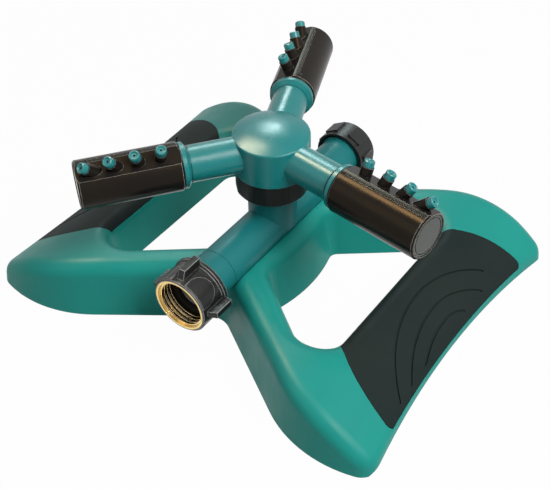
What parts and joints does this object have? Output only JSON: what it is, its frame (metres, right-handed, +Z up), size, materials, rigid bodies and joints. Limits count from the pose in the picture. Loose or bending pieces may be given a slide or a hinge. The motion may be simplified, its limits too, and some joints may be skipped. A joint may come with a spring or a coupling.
{
  "type": "rotary lawn sprinkler",
  "caption": "Rotary lawn sprinkler: arms with turnable nozzle barrels spin on a water tube that lies across a bow-tie base with soft grip pads, hose nut in front, screw cap at the back.",
  "frame": {"origin": "on the ground under the rotor's pivot, at the middle of the base's outline", "axes": "+X from the left wing to the right wing, +Y along the water tube away from the hose, +Z up"},
  "size_m": [0.2376, 0.192, 0.1009],
  "materials": {
    "shell_teal": "satin moulded",
    "tube_teal": "satin moulded",
    "rotor_teal": "gloss moulded",
    "tip_teal": "gloss moulded",
    "barrel_black": "gloss moulded",
    "nut_black": "gloss moulded",
    "collar_black": "satin moulded",
    "cap_charcoal": "satin moulded",
    "grip_rubber": "matte soft",
    "seal_rubber": "matte",
    "thread_brass": "turned",
    "plug_grey": "fine grain",
    "ring_steel": "zinc plated",
    "screen_steel": "stainless",
    "washer_plastic": "low friction plastic",
    "tail_plastic": "natural moulded"
  },
  "bodies": {
    "base": {"base_shell": "shell_teal", "right_grip_pad": "grip_rubber", "left_grip_pad": "grip_rubber", "manifold_tee": "tube_teal", "base_screws": "ring_steel", "inlet_tailpiece": "tail_plastic", "inlet_filter_screen": "screen_steel", "bearing_collar": "collar_black", "upper_thrust_washer": "washer_plastic"},
    "rotor": {"rotor_hub": "rotor_teal", "rotor_spindle": "tail_plastic", "spindle_circlip": "ring_steel", "spindle_o_ring": "seal_rubber", "lower_thrust_washer": "washer_plastic", "barrel_o_ring_1": "seal_rubber", "barrel_snap_ring_1": "ring_steel", "barrel_o_ring_2": "seal_rubber", "barrel_snap_ring_2": "ring_steel", "barrel_o_ring_3": "seal_rubber", "barrel_snap_ring_3": "ring_steel"},
    "inlet_nut": {"inlet_swivel_nut": "nut_black", "inlet_thread_insert": "thread_brass", "inlet_washer": "seal_rubber"},
    "end_cap_carrier": {"end_cap_washer": "seal_rubber"},
    "end_cap": {"end_cap": "cap_charcoal"},
    "barrel_1": {"nozzle_barrel_1": "barrel_black", "barrel_end_plug_1": "plug_grey", "nozzle_tip_1_1": "tip_teal", "nozzle_tip_1_2": "tip_teal", "nozzle_tip_1_3": "tip_teal", "nozzle_tip_1_4": "tip_teal"},
    "barrel_2": {"nozzle_barrel_2": "barrel_black", "barrel_end_plug_2": "plug_grey", "nozzle_tip_2_1": "tip_teal", "nozzle_tip_2_2": "tip_teal", "nozzle_tip_2_3": "tip_teal", "nozzle_tip_2_4": "tip_teal"},
    "barrel_3": {"nozzle_barrel_3": "barrel_black", "barrel_end_plug_3": "plug_grey", "nozzle_tip_3_1": "tip_teal", "nozzle_tip_3_2": "tip_teal", "nozzle_tip_3_3": "tip_teal", "nozzle_tip_3_4": "tip_teal"}
  },
  "joints": [
    {"name": "rotor_spin", "type": "hinge", "parent": "base", "child": "rotor", "pos_m": [0, 0, 0.0822], "axis": [0, 0, 1], "continuous": true},
    {"name": "barrel_1_turn", "type": "hinge", "parent": "rotor", "child": "barrel_1", "pos_m": [0, 0, 0.0822], "axis": [0.9904, -0.1383, 0], "range_deg": [-45, 45]},
    {"name": "barrel_2_turn", "type": "hinge", "parent": "rotor", "child": "barrel_2", "pos_m": [0, 0, 0.0822], "axis": [-0.3754, 0.9269, 0], "range_deg": [-45, 45]},
    {"name": "barrel_3_turn", "type": "hinge", "parent": "rotor", "child": "barrel_3", "pos_m": [0, 0, 0.0822], "axis": [-0.615, -0.7885, 0], "range_deg": [-45, 45]},
    {"name": "inlet_nut_spin", "type": "hinge", "parent": "base", "child": "inlet_nut", "pos_m": [0, -0.0694, 0.0355], "axis": [0, -1, 0], "continuous": true},
    {"name": "end_cap_travel", "type": "slide", "parent": "base", "child": "end_cap_carrier", "axis": [0, 1, 0], "range_m": [0, 0.00884]},
    {"name": "end_cap_turn", "type": "hinge", "parent": "end_cap_carrier", "child": "end_cap", "pos_m": [0, 0.072, 0.0355], "axis": [0, 1, 0], "range_deg": [0, 1440.5]}
  ],
  "couplings": [
    {"joint": "end_cap_turn", "follows": "end_cap_travel", "rad_per_m": 2844.4}
  ]
}
